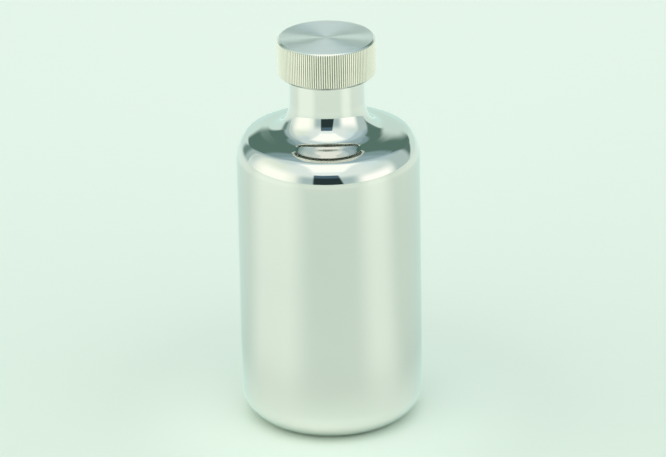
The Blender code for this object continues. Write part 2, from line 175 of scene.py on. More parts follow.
class Sheet:
    """The nodes of one material or of the world."""

    def __init__(self, owner: bpy.types.Material | bpy.types.World) -> None:
        """Takes the owner's node tree and empties it.

        Args:
            owner: the material or the world.
        """
        owner.use_nodes = True
        self.tree = owner.node_tree
        self.tree.nodes.clear()

    def node(
        self, kind: str, settings: Settings | None = None, sockets: Sockets | None = None
    ) -> bpy.types.Node:
        """Adds a node.

        Args:
            kind: the node's type.
            settings: its own properties, which are set first.
            sockets: a value or a link for each named or numbered input.

        Returns:
            The node.
        """
        made = self.tree.nodes.new(kind)
        for name, value in (settings or {}).items():
            setattr(made, name, value)
        for name, value in (sockets or {}).items():
            socket = made.inputs[name]
            if isinstance(value, Value):
                self.tree.links.new(value.socket, socket)
            elif isinstance(value, tuple) and len(value) == 3 and socket.type == "RGBA":
                socket.default_value = (*value, 1.0)
            else:
                socket.default_value = value
        return made

    def add(
        self,
        kind: str,
        settings: Settings | None = None,
        sockets: Sockets | None = None,
        out: int | str = 0,
    ) -> Value:
        """Adds a node and gives one of its outputs.

        Args:
            kind: the node's type.
            settings: its own properties, which are set first.
            sockets: a value or a link for each named or numbered input.
            out: the output wanted.

        Returns:
            That output.
        """
        return Value(self, self.node(kind, settings, sockets).outputs[out])

    def mix(self, first: Value | Colour, second: Value | Colour, factor: Value | float) -> Value:
        """Mixes two colours.

        Args:
            first: the colour at factor 0.
            second: the colour at factor 1.
            factor: how much of the second.

        Returns:
            The mixed colour.
        """
        sockets = {0: factor, 6: first, 7: second}
        return self.add("ShaderNodeMix", {"data_type": "RGBA"}, sockets, 2)

    def darkened(self, colour: Colour, share: float, factor: Value) -> Value:
        """The colour, which the factor takes down to a share of itself."""
        return self.mix(colour, tuple(share * part for part in colour), factor)

    def parts(self, vector: Value) -> list[Value]:
        """The three numbers of a vector."""
        split = self.node("ShaderNodeSeparateXYZ", sockets={0: vector})
        return [Value(self, part) for part in split.outputs]

    def place(self) -> tuple[Value, Value, Value, Value]:
        """Where the surface is, in the object's own coordinates.

        Returns:
            The whole vector, the radius from the axis, the turn round it and the height.
        """
        whole = self.add("ShaderNodeTexCoord", out="Object")
        x, y, z = self.parts(whole)
        return whole, (x * x + y * y).math("SQRT"), y.math("ARCTAN2", x), z

    def noise(self, where: Value, scale: float, detail: float = 2.0) -> Value:
        """Noise of about 0 to 1.

        Args:
            where: the coordinates that it is read at.
            scale: bumps in a metre.
            detail: how many finer layers it has.

        Returns:
            The noise.
        """
        sockets = {"Vector": where, "Scale": scale, "Detail": detail}
        return self.add("ShaderNodeTexNoise", None, sockets)

    def stretched(self, where: Value, scale: Scale) -> Value:
        """The vector with each part multiplied."""
        return self.add("ShaderNodeVectorMath", {"operation": "MULTIPLY"}, {0: where, 1: scale})

    def combine(self, x: Value | float, y: Value | float, z: Value | float) -> Value:
        """A vector of three numbers."""
        return self.add("ShaderNodeCombineXYZ", None, {0: x, 1: y, 2: z})

    def bump(self, height: Value, depth: float) -> Value:
        """A normal that follows a height, where 1 stands depth in metres above 0."""
        return self.add("ShaderNodeBump", None, {"Distance": depth, "Height": height})


class Finish:
    """A finish that makes its own material. Each kind says what its shader gets."""

    def make(self, name: str) -> bpy.types.Material:
        """Makes the material, with one Principled shader.

        Args:
            name: the material's name.

        Returns:
            The material.
        """
        material = bpy.data.materials.new(name)
        sheet = Sheet(material)
        shader = sheet.add("ShaderNodeBsdfPrincipled", None, self.sockets(sheet))
        sheet.node("ShaderNodeOutputMaterial", None, {"Surface": shader})
        return material

    def sockets(self, sheet: Sheet) -> Sockets:
        """What the shader's sockets get, by name."""
        raise NotImplementedError


@dataclass(frozen=True)
class PolishedSteel(Finish):
    """Mirror polish with the faint waves and swirls that buffing leaves, and a few fine scratches."""

    colour: Colour = (0.782, 0.765, 0.737)
    edge: Colour = (0.88, 0.98, 1.0)
    cloud_shade: float = 0.97
    cloud_scale: float = 45.0
    roughness: float = 0.02
    swirl: float = 0.03
    swirl_scale: float = 240.0
    swirl_stretch: Scale = (1.0, 1.0, 6.0)
    scratch: float = 0.05
    scratch_scale: float = 900.0
    scratch_stretch: Point = (0.02, 3.0)
    scratch_limits: Point = (0.70, 0.78)
    wave: float = 0.0035 * MM
    wave_scale: float = 70.0
    wave_stretch: Scale = (1.0, 1.0, 0.6)

    def sockets(self, sheet: Sheet) -> Sockets:
        """Adds the clouds, swirls, waves and scratches of the polish.

        Args:
            sheet: the material's nodes.

        Returns:
            What the shader's sockets get.
        """
        where, radius, turn, height = sheet.place()
        clouds = sheet.noise(where, self.cloud_scale, 3.0)
        swirls = sheet.noise(sheet.stretched(where, self.swirl_stretch), self.swirl_scale, 4.0)
        waves = sheet.noise(sheet.stretched(where, self.wave_stretch), self.wave_scale, 1.0)
        round_share, height_share = self.scratch_stretch
        streaks = sheet.combine(turn * round_share, radius, height * height_share)
        scratches = sheet.noise(streaks, self.scratch_scale, 1.0).step(*self.scratch_limits)
        return {
            "Base Color": sheet.darkened(self.colour, self.cloud_shade, clouds),
            "Metallic": 1.0,
            "Specular Tint": (*self.edge, 1.0),
            "Roughness": self.roughness + self.swirl * clouds * swirls + self.scratch * scratches,
            "Normal": sheet.bump(waves, self.wave),
        }


@dataclass(frozen=True)
class TurnedSteel(Finish):
    """Steel off the lathe: rings too fine to count, which spread the light across them."""

    colour: Colour = (0.72, 0.73, 0.70)
    roughness: float = 0.24
    spread: float = 0.5
    pitch: float = 0.25 * MM
    depth: float = 0.002 * MM
    ring_dulling: float = 0.06
    wear: float = 0.08
    wear_scale: float = 700.0
    wear_slice: float = 3.0
    cloud_scale: float = 160.0
    cloud_share: float = 0.4
    cloud_dulling: float = 0.05

    def sockets(self, sheet: Sheet) -> Sockets:
        """Adds the lathe's rings and the wear over them.

        Args:
            sheet: the material's nodes.

        Returns:
            What the shader's sockets get.
        """
        where, radius, _, height = sheet.place()
        rings = sheet.noise(sheet.combine(radius, height, 0.0), 1.0 / self.pitch)
        broad = sheet.noise(sheet.combine(radius, height, self.wear_slice), self.wear_scale)
        clouds = sheet.noise(where, self.cloud_scale, 3.0)
        worn = broad * (1 - self.cloud_share) + clouds * self.cloud_share
        return {
            "Base Color": sheet.darkened(self.colour, 1.0 - self.wear, worn),
            "Metallic": 1.0,
            "Roughness": self.roughness + self.ring_dulling * rings + self.cloud_dulling * clouds,
            "Anisotropic": self.spread,
            "Anisotropic Rotation": 0.25,
            "Normal": sheet.bump(rings, self.depth),
        }


@dataclass(frozen=True)
class KnurlSteel(Finish):
    """Satin steel of the cap's ribbed side, bright on the crests, dull in the grooves and darker there by
    painted shade.
    """

    colour: Colour = (0.93, 0.885, 0.785)
    roughness: float = 0.2
    crest: float = 23.95 * MM
    groove: float = 23.55 * MM
    groove_shade: float = 0.35
    groove_dulling: float = 0.2
    cloud_scale: float = 500.0
    cloud_share: float = 0.25
    cloud_dulling: float = 0.08
    grain: float = 0.001 * MM

    def sockets(self, sheet: Sheet) -> Sockets:
        """Adds the painted shade in the grooves and the satin clouds.

        Args:
            sheet: the material's nodes.

        Returns:
            What the shader's sockets get.
        """
        where, radius, _, _ = sheet.place()
        clouds = sheet.noise(where, self.cloud_scale, 3.0)
        hollow = 1 - radius.step(self.groove, self.crest)
        # painted shade: the grooves' colour is darkened, more or less with the clouds, to stand for the
        # shade in them
        painted_groove_shade = hollow * (1 - self.cloud_share + self.cloud_share * clouds)
        return {
            "Base Color": sheet.darkened(self.colour, self.groove_shade, painted_groove_shade),
            "Metallic": 1.0,
            "Roughness": self.roughness + self.cloud_dulling * clouds + self.groove_dulling * hollow,
            "Normal": sheet.bump(clouds, self.grain),
        }


@dataclass(frozen=True)
class SpringSteel(Finish):
    """Drawn wire and stamped strip: grey steel with fine lines along it and small dark specks."""

    colour: Colour = (0.45, 0.46, 0.48)
    roughness: float = 0.3
    line_scale: float = 9000.0
    line_dulling: float = 0.12
    line_depth: float = 0.003 * MM
    line_stretch: float = 0.002
    speck_scale: float = 2600.0
    speck_limits: Point = (0.62, 0.72)
    speck_shade: float = 0.7

    def sockets(self, sheet: Sheet) -> Sockets:
        """Adds the drawn lines and the specks.

        Args:
            sheet: the material's nodes.

        Returns:
            What the shader's sockets get.
        """
        where, radius, turn, height = sheet.place()
        lines = sheet.noise(sheet.combine(turn * self.line_stretch, radius, height), self.line_scale)
        specks = sheet.noise(where, self.speck_scale).step(*self.speck_limits)
        return {
            "Base Color": sheet.darkened(self.colour, self.speck_shade, specks),
            "Metallic": 1.0,
            "Roughness": self.roughness + self.line_dulling * lines,
            "Normal": sheet.bump(lines, self.line_depth),
        }


@dataclass(frozen=True)
class MouldedPlastic(Finish):
    """Moulded plastic or silicone with a faint grain, a little darker in soft clouds."""

    colour: Colour
    roughness: float
    coat: float = 0.0
    sheen: float = 0.0
    grain: float = 0.004 * MM
    grain_scale: float = 1800.0
    cloud_scale: float = 120.0
    cloud_shade: float = 0.92
    cloud_dulling: float = 0.1

    def sockets(self, sheet: Sheet) -> Sockets:
        """Adds the grain and the clouds.

        Args:
            sheet: the material's nodes.

        Returns:
            What the shader's sockets get.
        """
        where = sheet.place()[0]
        grain = sheet.noise(where, self.grain_scale)
        clouds = sheet.noise(where, self.cloud_scale)
        return {
            "Base Color": sheet.darkened(self.colour, self.cloud_shade, clouds),
            "Roughness": self.roughness + self.cloud_dulling * clouds,
            "Coat Weight": self.coat,
            "Sheen Weight": self.sheen,
            "Normal": sheet.bump(grain, self.grain),
        }


@dataclass(frozen=True)
class Finishes:
    """The materials of the whole bottle."""

    polished: bpy.types.Material
    turned: bpy.types.Material
    knurl: bpy.types.Material
    face: bpy.types.Material
    edge: bpy.types.Material
    spring: bpy.types.Material
    insert: bpy.types.Material
    washer: bpy.types.Material
    silicone: bpy.types.Material


def arc(centre: Point, radius: float, start: float, end: float, steps: int) -> list[Point]:
    """Points of an arc in the outline's plane.

    Args:
        centre: its centre, as a radius and a height.
        radius: its own radius.
        start: first angle in degrees, from the outward direction.
        end: last angle.
        steps: how many stretches it is cut in.

    Returns:
        The points, both ends included.
    """
    turns = [math.radians(start + (end - start) * i / steps) for i in range(steps + 1)]
    return [(centre[0] + radius * math.cos(t), centre[1] + radius * math.sin(t)) for t in turns]


def upright(radius: float, low: float, high: float, count: int) -> list[Point]:
    """Points up a wall at even heights, with both ends."""
    return [(radius, low + (high - low) * i / count) for i in range(count + 1)]


def stepped(radii: list[float], levels: list[float]) -> list[Point]:
    """Corners of an outline that runs up or down at each radius in turn and straight across between.

    Args:
        radii: the radius of each upright stretch.
        levels: the heights that they run between, one more than the radii.

    Returns:
        The corners.
    """
    return [(r, z) for r, ends in zip(radii, zip(levels, levels[1:])) for z in ends]


def eased(outline: list[Point], ease: float, closed: bool = True) -> list[Point]:
    """Rounds the corners of an outline, with a support point on each side to hold the flats flat.

    Args:
        outline: its corners.
        ease: the radius of a corner.
        closed: whether it runs round a section, or from axis to axis.

    Returns:
        The rounded outline.
    """
    nearly_straight, longest, support = math.radians(150), 0.3, 1.3
    made: list[Point] = []
    for i, corner in enumerate(outline):
        here = Vector(corner)
        back = Vector(outline[i - 1]) - here
        onward = Vector(outline[(i + 1) % len(outline)]) - here
        end = not closed and i in (0, len(outline) - 1)
        if end or back.angle(onward) > nearly_straight:
            made.append(corner)
            continue
        reach = ease / math.tan(back.angle(onward) / 2)
        reach = min(reach, longest * back.length, longest * onward.length)
        before, after = back.normalized() * reach, onward.normalized() * reach
        first, last = here + before, here + after
        made.append(tuple(here + before * support))
        for share in (0.0, 0.25, 0.5, 0.75, 1.0):
            point = first * (1 - share) ** 2 + here * 2 * share * (1 - share) + last * share**2
            made.append(tuple(point))
        made.append(tuple(here + after * support))
    return made


def polar(radius: float, turn: float, height: float) -> Vector:
    """The place at a radius from the axis, a turn round it in radians and a height."""
    return Vector((radius * math.cos(turn), radius * math.sin(turn), height))


def join_rings(mesh: bmesh.types.BMesh, first: Ring, second: Ring, finish: int = 0) -> None:
    """Joins two rings of as many points with faces all the way round.

    Args:
        mesh: where the faces go.
        first: the points of one ring.
        second: those of the other.
        finish: the place of the faces' material in the object's list.
    """
    for i, point in enumerate(first):
        mesh.faces.new((first[i - 1], point, second[i], second[i - 1])).material_index = finish


def lathe(
    name: str, outline: list[Point], segments: int, sharp: float = 30.0, relief: Relief | None = None
) -> bpy.types.Object:
    """Turns an outline about the axis into a closed mesh.

    Args:
        name: the object's name.
        outline: radius and height of each point, round the section, or from axis to axis.
        segments: stretches round the axis.
        sharp: edges over this angle in degrees stay sharp.
        relief: gives the radius at a turn in radians, for an outline's radius and height.

    Returns:
        The object.
    """
    mesh = bmesh.new()
    on_axis = [r < NEAR for r, _ in outline]
    rings = []
    for (r, z), pole in zip(outline, on_axis):
        turns = [2 * math.pi * i / segments for i in range(1 if pole else segments)]
        places = [polar(relief(turn, r, z) if relief else r, turn, z) for turn in turns]
        rings.append([mesh.verts.new(place) for place in places])
    pairs = list(zip(rings, rings[1:]))
    if not any(on_axis):
        pairs.append((rings[-1], rings[0]))
    for first, second in pairs:
        for i in range(segments):
            j = (i + 1) % segments
            around = [(first, i), (first, j), (second, j), (second, i)]
            corners = [ring[k % len(ring)] for ring, k in around]
            kept = [v for k, v in enumerate(corners) if v not in corners[:k]]
            if len(kept) > 2:
                mesh.faces.new(kept)
    return finished(name, mesh, sharp)


def finished(name: str, mesh: bmesh.types.BMesh, sharp: float = 30.0) -> bpy.types.Object:
    """Makes an object of a closed mesh, with outward normals and smooth shading.

    Args:
        name: the object's name.
        mesh: its faces, which are freed.
        sharp: edges over this angle in degrees stay sharp.

    Returns:
        The object.
    """
    bmesh.ops.recalc_face_normals(mesh, faces=mesh.faces)
    data = bpy.data.meshes.new(name)
    mesh.to_mesh(data)
    mesh.free()
    data.shade_smooth()
    data.set_sharp_from_angle(angle=math.radians(sharp))
    made = bpy.data.objects.new(name, data)
    bpy.context.scene.collection.objects.link(made)
    return made


def wire(name: str, radius: float, thickness: float, height: float, opening: float) -> bpy.types.Object:
    """A ring of round wire about the axis, whole or open about the +Y side, with rounded ends.

    Args:
        name: the object's name.
        radius: from the axis to the wire's middle.
        thickness: the wire's own radius.
        height: the ring's height.
        opening: the angle left open in degrees, or nothing for a whole ring.

    Returns:
        The object.
    """
    around, across, rounding = 160, 16, (25, 50, 75, 88)
    mesh = bmesh.new()
    whole = opening == 0
    tip = 0.0 if whole else math.degrees(thickness / radius)
    start, sweep = 90 + opening / 2 + tip, 360 - opening - 2 * tip
    stations = [(start + sweep * i / around, thickness) for i in range(around if whole else around + 1)]
    if not whole:
        turns = [math.radians(angle) for angle in rounding]
        rounds = [(tip * math.sin(t), thickness * math.cos(t)) for t in turns]
        before = [(start - out, width) for out, width in reversed(rounds)]
        stations = before + stations + [(start + sweep + out, width) for out, width in rounds]
    rings = []
    for turn, width in stations:
        section = arc((radius, height), width, 0, 360 - 360 / across, across - 1)
        rings.append([mesh.verts.new(polar(r, math.radians(turn), z)) for r, z in section])
    for first, second in list(zip(rings, rings[1:])) + ([(rings[-1], rings[0])] if whole else []):
        join_rings(mesh, first, second)
    if not whole:
        mesh.faces.new(rings[0])
        mesh.faces.new(rings[-1])
    return finished(name, mesh, sharp=60.0)


def dress(
    piece: bpy.types.Object, body: Body, finishes: list[bpy.types.Material], node: str
) -> bpy.types.Object:
    """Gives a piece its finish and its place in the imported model.

    Args:
        piece: the finished mesh.
        body: what it moves with.
        finishes: its materials, the main one first.
        node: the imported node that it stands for.

    Returns:
        The piece.
    """
    for finish in finishes:
        piece.data.materials.append(finish)
    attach(piece, body.value)
    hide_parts(node)
    LOG.info("%s on %s, %d faces", piece.name, body.value, len(piece.data.polygons))
    return piece


@dataclass(frozen=True)
class ScrewThread:
    """The right-hand thread of the mouth and of the cap's insert.

    It runs from low to high and passes the phase's height where the turn is 0. The runout is the
    share of a pitch over which it rises at each end.
    """

    low: float
    high: float
    phase: float
    depth: float
    pitch: float = 3.0 * MM
    crest: float = 0.8 * MM
    flank: float = 0.4 * MM
    runout: float = 0.25

    def height(self, turn: float, level: float) -> float:
        """How far the ridge stands out at a place.

        Args:
            turn: the angle round the axis in radians.
            level: the height of the place.

        Returns:
            The ridge's height there, or nothing beside it.
        """
        share = turn / (2 * math.pi)
        middle = self.phase + self.pitch * (share + round((level - self.phase) / self.pitch - share))
        end = min(middle - self.low, self.high - middle) / (self.runout * self.pitch)
        off = (abs(level - middle) - self.crest / 2) / self.flank
        side = 1 - min(1.0, max(0.0, off))
        return self.depth * min(1.0, max(0.0, end)) * side * side * (3 - 2 * side)


@dataclass
class BottleShell:
    """The polished bottle: base cup, body tube and shoulder with the neck.

    The shoulder's arcs end at angles in degrees over the outward direction.
    """

    radius: float = 45.0 * MM
    wall: float = 0.7 * MM
    heel_radius: float = 15.0 * MM
    ring_width: float = 2.5 * MM
    dish_depth: float = 2.6 * MM
    base_seam: float = 24.0 * MM
    shoulder_seam: float = 128.7 * MM
    side_top: float = 136.7 * MM
    round_radius: float = 16.2 * MM
    round_end: float = 40.0
    bend_radius: float = 5.5 * MM
    bend_end: float = 68.0
    crown_radius: float = 28.0 * MM
    slope: float = 8.0
    flare_lower: float = 11.4 * MM
    flare_break: float = 26.5
    flare_upper: float = 20.5 * MM
    neck_radius: float = 18.4 * MM
    neck_top: float = 181.406 * MM
    segments: int = 240
    steps: int = 28
    dish_steps: int = 10
    neck_rows: int = 6
    tube_rows: int = 8
    skirt_rows: int = 3

    @staticmethod
    def along(angle: float, length: float) -> Vector:
        """A step of a length at an angle in degrees over the outward direction."""
        return Vector((math.cos(math.radians(angle)), math.sin(math.radians(angle)))) * length

    def shoulder_outline(self, offset: float) -> list[Point]:
        """The shoulder from the neck's rim down to its seam.

        Args:
            offset: how far it is moved inwards.

        Returns:
            The outline.
        """
        top = 90 - self.slope
        round_centre = Vector((self.radius - self.round_radius, self.side_top))
        bend_centre = round_centre + self.along(self.round_end, self.round_radius - self.bend_radius)
        crown_centre = bend_centre + self.along(self.bend_end, self.bend_radius - self.crown_radius)
        crown_foot = crown_centre + self.along(top, self.crown_radius)
        lag = self.along(self.flare_break, self.flare_upper - self.flare_lower)
        lower_at = self.neck_radius + self.flare_upper - lag.x
        flare_foot = lower_at - self.along(top, self.flare_lower).x
        rise = (crown_foot.x - flare_foot) * math.tan(math.radians(self.slope))
        lower_centre = Vector((flare_foot, crown_foot.y + rise)) + self.along(top, self.flare_lower)
        upper_centre = lower_centre + lag
        middle = 180 + self.flare_break
        neck = upright(self.neck_radius - offset, upper_centre.y, self.neck_top, self.neck_rows)[:0:-1]
        upper = arc(upper_centre, self.flare_upper + offset, 180, middle, self.steps)
        lower = arc(lower_centre, self.flare_lower + offset, middle, 180 + top, self.steps)
        crown = arc(crown_centre, self.crown_radius - offset, top, self.bend_end, self.steps)
        bend = arc(bend_centre, self.bend_radius - offset, self.bend_end, self.round_end, self.steps)
        outer = arc(round_centre, self.round_radius - offset, self.round_end, 0, self.steps)
        skirt = upright(self.radius - offset, self.shoulder_seam, self.side_top, self.skirt_rows)[-2::-1]
        return neck + upper + lower[1:] + crown + bend[1:] + outer[1:] + skirt

    def base_outline(self, offset: float) -> list[Point]:
        """The base cup from its seam down the heel and into the dish.

        Args:
            offset: how far it is moved inwards.

        Returns:
            The outline.
        """
        ring = self.radius - self.heel_radius - self.ring_width
        cove_radius = self.dish_depth + offset
        side = upright(self.radius - offset, self.heel_radius, self.base_seam, self.skirt_rows)[:0:-1]
        heel_centre = (self.radius - self.heel_radius, self.heel_radius)
        heel = arc(heel_centre, self.heel_radius - offset, 0, -90, self.steps)
        cove_start = math.degrees(math.asin(offset / cove_radius))
        cove = arc((ring - self.dish_depth, 0.0), cove_radius, cove_start, 90, self.dish_steps)
        return side + heel + cove + [(0.0, self.dish_depth + offset)]

    def build(self, finishes: Finishes) -> list[bpy.types.Object]:
        """Builds and dresses the three pieces.

        Args:
            finishes: the bottle's materials.

        Returns:
            The pieces.
        """
        run = (self.base_seam, self.shoulder_seam, self.tube_rows)
        cup = self.base_outline(self.wall)[::-1] + self.base_outline(0.0)
        tube = upright(self.radius, *run)[::-1] + upright(self.radius - self.wall, *run)
        shoulder = self.shoulder_outline(0.0) + self.shoulder_outline(self.wall)[::-1]
        plan = [
            ("polished_base", cup, "base_cup"),
            ("polished_body", tube, "body_tube"),
            ("polished_shoulder", shoulder, "shoulder_and_neck"),
        ]
        finish, made = [finishes.polished], []
        for name, outline, node in plan:
            piece = lathe(name, outline, self.segments)
            made.append(dress(piece, Body.BOTTLE, finish, node))
        return made


@dataclass
class MouthCollar:
    """The turned collar in the neck, with the lip and the thread."""

    radius: float = 18.4 * MM
    bore: float = 15.8 * MM
    spigot: float = 17.4 * MM
    bottom: float = 172.206 * MM
    seat: float = 181.706 * MM
    lip: float = 193.006 * MM
    lip_round: float = 0.5 * MM
    lip_steps: int = 6
    ease: float = 0.15 * MM
    rows: int = 110
    segments: int = 192
    thread: ScrewThread = ScrewThread(184.406 * MM, 191.606 * MM, 184.406 * MM, 1.1 * MM)

    def relief(self, turn: float, radius: float, level: float) -> float:
        """The radius with the thread on the outer wall.

        Args:
            turn: the angle round the axis in radians.
            radius: the outline's radius.
            level: the height.

        Returns:
            The radius there.
        """
        if radius > self.radius - NEAR and level > self.seat + self.lip_round:
            return radius + self.thread.height(turn, level)
        return radius

    def build(self, finishes: Finishes) -> list[bpy.types.Object]:
        """Builds and dresses the collar.

        Args:
            finishes: the bottle's materials.

        Returns:
            The collar alone.
        """
        wall_foot, wall_top = self.seat + 2 * self.ease, self.lip - self.lip_round
        inner = arc((self.bore + self.lip_round, wall_top), self.lip_round, 180, 90, self.lip_steps)
        outer = arc((self.radius - self.lip_round, wall_top), self.lip_round, 90, 0, self.lip_steps)
        wall = upright(self.radius, wall_foot, wall_top, self.rows)[:0:-1]
        foot = [(self.radius, self.seat), *stepped([self.spigot], [self.seat, self.bottom])]
        corners = [wall[-1], *foot, (self.bore, self.bottom), inner[0]]
        held = eased(corners, self.ease, closed=False)[1:-1]
        outline = outer[:-1] + wall + held + inner
        collar = lathe("threaded_collar", outline, self.segments, relief=self.relief)
        return [dress(collar, Body.BOTTLE, [finishes.turned], "neck_collar")]


@dataclass(frozen=True)
class ShellRing:
    """One ring of points round the cap's shell, with the finish of the faces up to it.

    The radius and the height are those of the ribs' crests. The cut is how deep the grooves are,
    and the lean how much higher a point stands for each length that it lies further in.
    """

    radius: float
    height: float
    finish: CapFinish = CapFinish.EDGE
    cut: float = 0.0
    lean: float = 0.0


@dataclass
class KnurledCap:
    """The cap: its steel shell with ribbed side and turned top, the threaded insert and the snap ring."""

    radius: float = 23.95 * MM
    bottom: float = 179.406 * MM
    top: float = 198.406 * MM
    chamfer: float = 0.9 * MM
    foot_chamfer: float = 1.5 * MM
    edge_ease: float = 0.06 * MM
    face_rings: tuple[float, ...] = (0.8, 0.55, 0.3, 0.1)
    ribs: int = 136
    rib_depth: float = 0.45 * MM
    bore: float = 21.35 * MM
    ceiling: float = 196.206 * MM
    groove_radius: float = 21.95 * MM
    groove_height: float = 183.006 * MM
    groove_half: float = 0.75 * MM
    boss_radius: float = 4.0 * MM
    boss_bottom: float = 192.006 * MM
    stud_hole: float = 2.0 * MM
    hole_top: float = 197.306 * MM
    insert_radius: float = 21.05 * MM
    insert_bore: float = 19.8 * MM
    insert_gap: float = 0.3 * MM
    insert_ease: float = 0.12 * MM
    insert_rows: int = 110
    insert_segments: int = 192
    insert_thread: ScrewThread = ScrewThread(184.756 * MM, 191.606 * MM, 185.906 * MM, 1.1 * MM)
    ring_radius: float = 21.2 * MM
    ring_wire: float = 0.45 * MM
    ring_opening: float = 16.0

    def rib_outline(self) -> list[Point]:
        """One rib from crest to crest: places from 0 to 1 round it, each with its depth from 0 to 1."""
        half = [(0.0, 0.0), (0.20, 0.02), (0.29, 0.14), (0.44, 0.92)]
        return half + [(0.5, 1.0)] + [(1 - place, depth) for place, depth in half[:0:-1]]

    def rib_ring(self, mesh: bmesh.types.BMesh, ring: ShellRing) -> Ring:
        """A ring of points that follows the ribs.

        Args:
            mesh: where the points go.
            ring: its sizes.

        Returns:
            The points in turn.
        """
        made = []
        for rib in range(self.ribs):
            for place, depth in self.rib_outline():
                turn = 2 * math.pi * (rib + place) / self.ribs
                inwards = ring.cut * depth
                point = polar(ring.radius - inwards, turn, ring.height + ring.lean * inwards)
                made.append(mesh.verts.new(point))
        return made

    def shell_rings(self) -> list[ShellRing]:
        """The shell's rings, from the stud's hole over the inside, the foot and the side to the top.

        Returns:
            The rings in turn.
        """
        ease = self.edge_ease
        foot_radius, foot = self.radius - self.foot_chamfer, self.bottom + self.foot_chamfer
        low, high = self.groove_height - self.groove_half, self.groove_height + self.groove_half
        walls = [self.boss_radius, self.bore, self.groove_radius, self.bore]
        wall_ends = [self.boss_bottom + 2 * ease, self.ceiling, high, low, self.bottom + 3 * ease]
        inside = [
            *stepped([self.stud_hole], [self.hole_top, self.boss_bottom + 2 * ease]),
            (self.stud_hole + 2 * ease, self.boss_bottom),
            (self.boss_radius - 2 * ease, self.boss_bottom),
            *stepped(walls, wall_ends),
            (self.bore + 3 * ease, self.bottom),
            (foot_radius - ease, self.bottom),
            (foot_radius, self.bottom + ease / 2),
        ]
        eased_cut, eased_radius = self.rib_depth - ease, self.radius - ease
        shoulder, crown = self.top - self.chamfer, self.radius - self.chamfer
        side = [
            ShellRing(eased_radius, foot - ease, CapFinish.EDGE, eased_cut, -1.0),
            ShellRing(self.radius, foot + ease, CapFinish.SIDE, self.rib_depth, -1.0),
            ShellRing(self.radius, (self.bottom + self.top) / 2, CapFinish.SIDE, self.rib_depth),
            ShellRing(self.radius, shoulder - ease, CapFinish.SIDE, self.rib_depth, 1.0),
            ShellRing(eased_radius, shoulder + ease, CapFinish.EDGE, eased_cut, 1.0),
            ShellRing(crown + ease, self.top - ease),
            ShellRing(crown, self.top - ease / 3),
        ]
        face = [crown - ease, crown - 3 * ease, *(crown * share for share in self.face_rings)]
        rings = [ShellRing(r, z) for r, z in inside]
        return rings + side + [ShellRing(r, self.top, CapFinish.FACE) for r in face]

    def build_shell(self) -> bpy.types.Object:
        """Builds the steel shell, each part of it in its own finish.

        Returns:
            The shell.
        """
        mesh = bmesh.new()
        plan = self.shell_rings()
        rings = [self.rib_ring(mesh, ring) for ring in plan]
        for first, second, ring in zip(rings, rings[1:], plan[1:]):
            join_rings(mesh, first, second, ring.finish.value)
        mesh.faces.new(rings[0]).material_index = CapFinish.EDGE.value
        centre = mesh.verts.new((0.0, 0.0, self.top))
        for i, point in enumerate(rings[-1]):
            mesh.faces.new((rings[-1][i - 1], point, centre)).material_index = CapFinish.FACE.value
        return finished("knurled_cap", mesh, sharp=25.0)

    def insert_relief(self, turn: float, radius: float, level: float) -> float:
        """The radius with the thread on the insert's bore."""
        inside = radius < self.insert_bore + NEAR
        return radius - self.insert_thread.height(turn, level) if inside else radius

    def build_insert(self) -> bpy.types.Object:
        """Builds the insert with its inner thread.

        Returns:
            The insert.
        """
        low, high = self.groove_height + self.groove_half, self.ceiling - self.insert_gap
        margin = 3 * self.insert_ease
        bore = upright(self.insert_bore, low + margin, high - margin, self.insert_rows)
        corners = [(self.insert_bore, high), *stepped([self.insert_radius], [high, low])]
        corners = [bore[-1], *corners, (self.insert_bore, low), bore[0]]
        outline = bore + eased(corners, self.insert_ease, closed=False)[1:-1]
        return lathe("threaded_insert_liner", outline, self.insert_segments, relief=self.insert_relief)

    def build(self, finishes: Finishes) -> list[bpy.types.Object]:
        """Builds and dresses the three pieces.

        Args:
            finishes: the bottle's materials.

        Returns:
            The pieces.
        """
        steel = [finishes.knurl, finishes.face, finishes.edge]
        insert = self.build_insert()
        sizes = (self.ring_radius, self.ring_wire, self.groove_height, self.ring_opening)
        ring = wire("snap_ring_wire", *sizes)
        return [
            dress(self.build_shell(), Body.CAP, steel, "cap_shell"),
            dress(insert, Body.CAP, [finishes.insert], "threaded_insert"),
            dress(ring, Body.CAP, [finishes.spring], "snap_ring"),
        ]


